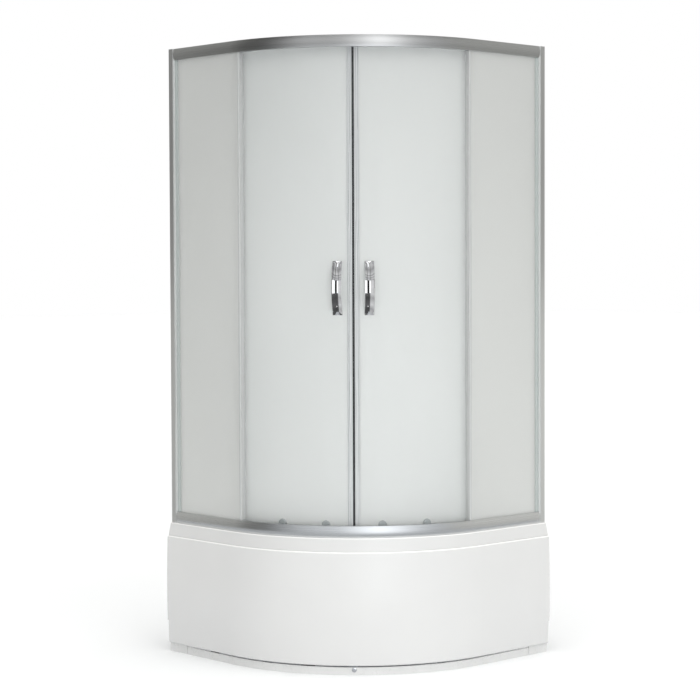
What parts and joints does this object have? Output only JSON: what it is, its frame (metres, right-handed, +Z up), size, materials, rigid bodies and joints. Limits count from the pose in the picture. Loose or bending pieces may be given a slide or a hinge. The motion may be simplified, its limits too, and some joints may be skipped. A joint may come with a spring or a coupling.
{
  "type": "shower enclosure",
  "caption": "Quadrant corner shower enclosure: deep white tray with curved apron, aluminium frame, frosted fixed panes and curved frosted doors that roll along the rails; chrome handles.",
  "frame": {"origin": "centre of the bounding box's footprint, at floor level", "axes": "+Z up; the room corner is at -X +Y, the walls lie along X and Y, and the curved front faces +X -Y"},
  "size_m": [0.8999, 0.8999, 2],
  "materials": {
    "tray_acrylic": "gloss",
    "apron_acrylic": "gloss",
    "plinth_plastic": "satin",
    "galvanised_steel": "satin",
    "black_plastic": "matte",
    "polished_chrome": "polished",
    "white_plastic": "satin",
    "rail_aluminium": "satin",
    "upright_aluminium": "satin",
    "track_aluminium": "satin",
    "fixed_frosted_glass": "matte",
    "door_frosted_glass": "matte",
    "gasket_pvc": "satin",
    "seal_pvc": "satin",
    "magnet_bar": "matte",
    "roller_plastic": "satin",
    "wheel_nylon": "satin",
    "stop_rubber": "matte",
    "grey_plastic": "matte",
    "screw_steel": "satin",
    "handle_fixing_steel": "satin"
  },
  "bodies": {
    "enclosure": {"apron_clips": "galvanised_steel", "bottom_rail": "rail_aluminium", "bottom_roller_track": "track_aluminium", "door_stops": "stop_rubber", "drain_flange": "polished_chrome", "drain_nut": "white_plastic", "foot_nuts": "galvanised_steel", "foot_pads": "black_plastic", "foot_rods": "galvanised_steel", "left_fixed_glass": "fixed_frosted_glass", "left_fixed_seal": "seal_pvc", "left_glazing_gasket": "gasket_pvc", "left_stile": "upright_aluminium", "left_wall_profile": "upright_aluminium", "plinth_button": "polished_chrome", "plinth_ends": "plinth_plastic", "plinth_strip": "plinth_plastic", "rail_end_plugs": "grey_plastic", "rail_screws": "screw_steel", "right_fixed_glass": "fixed_frosted_glass", "right_fixed_seal": "seal_pvc", "right_glazing_gasket": "gasket_pvc", "right_stile": "upright_aluminium", "right_wall_profile": "upright_aluminium", "stile_screws": "screw_steel", "support_beams": "galvanised_steel", "support_posts": "galvanised_steel", "top_rail": "rail_aluminium", "top_roller_track": "track_aluminium", "trap_body": "white_plastic", "tray_apron": "apron_acrylic", "tray_shell": "tray_acrylic", "waste_pipe": "white_plastic"},
    "left_door": {"left_door_glass": "door_frosted_glass", "left_meeting_seal": "seal_pvc", "left_magnet_bar": "magnet_bar", "left_rear_seal": "seal_pvc", "left_handle": "polished_chrome", "left_handle_fixings": "handle_fixing_steel", "left_upper_rollers": "roller_plastic", "left_lower_rollers": "roller_plastic"},
    "left_upper_wheel_near": {"left_upper_wheel_near": "wheel_nylon"},
    "left_upper_wheel_far": {"left_upper_wheel_far": "wheel_nylon"},
    "left_lower_wheel_near": {"left_lower_wheel_near": "wheel_nylon"},
    "left_lower_wheel_far": {"left_lower_wheel_far": "wheel_nylon"},
    "right_door": {"right_door_glass": "door_frosted_glass", "right_meeting_seal": "seal_pvc", "right_magnet_bar": "magnet_bar", "right_rear_seal": "seal_pvc", "right_handle": "polished_chrome", "right_handle_fixings": "handle_fixing_steel", "right_upper_rollers": "roller_plastic", "right_lower_rollers": "roller_plastic"},
    "right_upper_wheel_near": {"right_upper_wheel_near": "wheel_nylon"},
    "right_upper_wheel_far": {"right_upper_wheel_far": "wheel_nylon"},
    "right_lower_wheel_near": {"right_lower_wheel_near": "wheel_nylon"},
    "right_lower_wheel_far": {"right_lower_wheel_far": "wheel_nylon"},
    "drain_cover": {"drain_cover": "polished_chrome"}
  },
  "joints": [
    {"name": "left_door_roll", "type": "hinge", "parent": "enclosure", "child": "left_door", "pos_m": [-0.122, 0.122, 1.215], "axis": [0, 0, -1], "range_deg": [0, 29]},
    {"name": "right_door_roll", "type": "hinge", "parent": "enclosure", "child": "right_door", "pos_m": [-0.122, 0.122, 1.215], "axis": [0, 0, 1], "range_deg": [0, 29]},
    {"name": "left_upper_wheel_near_spin", "type": "hinge", "parent": "left_door", "child": "left_upper_wheel_near", "pos_m": [0.17741, -0.3056, 1.9808], "axis": [0.5736, -0.8192, 0], "continuous": true},
    {"name": "left_upper_wheel_far_spin", "type": "hinge", "parent": "left_door", "child": "left_upper_wheel_far", "pos_m": [0.04363, -0.37302, 1.9808], "axis": [0.3173, -0.9483, 0], "continuous": true},
    {"name": "left_lower_wheel_near_spin", "type": "hinge", "parent": "left_door", "child": "left_lower_wheel_near", "pos_m": [0.17741, -0.3056, 0.4492], "axis": [-0.5736, 0.8192, 0], "continuous": true},
    {"name": "left_lower_wheel_far_spin", "type": "hinge", "parent": "left_door", "child": "left_lower_wheel_far", "pos_m": [0.04363, -0.37302, 0.4492], "axis": [-0.3173, 0.9483, 0], "continuous": true},
    {"name": "right_upper_wheel_near_spin", "type": "hinge", "parent": "right_door", "child": "right_upper_wheel_near", "pos_m": [0.3056, -0.17741, 1.9808], "axis": [-0.8192, 0.5736, 0], "continuous": true},
    {"name": "right_upper_wheel_far_spin", "type": "hinge", "parent": "right_door", "child": "right_upper_wheel_far", "pos_m": [0.37302, -0.04363, 1.9808], "axis": [-0.9483, 0.3173, 0], "continuous": true},
    {"name": "right_lower_wheel_near_spin", "type": "hinge", "parent": "right_door", "child": "right_lower_wheel_near", "pos_m": [0.3056, -0.17741, 0.4492], "axis": [0.8192, -0.5736, 0], "continuous": true},
    {"name": "right_lower_wheel_far_spin", "type": "hinge", "parent": "right_door", "child": "right_lower_wheel_far", "pos_m": [0.37302, -0.04363, 0.4492], "axis": [0.9483, -0.3173, 0], "continuous": true},
    {"name": "drain_cover_lift", "type": "slide", "parent": "enclosure", "child": "drain_cover", "axis": [0, 0, 1], "range_m": [0, 0.05]}
  ],
  "couplings": [
    {"joint": "left_upper_wheel_near_spin", "follows": "left_door_roll", "ratio": 54.947},
    {"joint": "left_upper_wheel_far_spin", "follows": "left_door_roll", "ratio": 54.947},
    {"joint": "left_lower_wheel_near_spin", "follows": "left_door_roll", "ratio": 54.947},
    {"joint": "left_lower_wheel_far_spin", "follows": "left_door_roll", "ratio": 54.947},
    {"joint": "right_upper_wheel_near_spin", "follows": "right_door_roll", "ratio": 54.947},
    {"joint": "right_upper_wheel_far_spin", "follows": "right_door_roll", "ratio": 54.947},
    {"joint": "right_lower_wheel_near_spin", "follows": "right_door_roll", "ratio": 54.947},
    {"joint": "right_lower_wheel_far_spin", "follows": "right_door_roll", "ratio": 54.947}
  ]
}
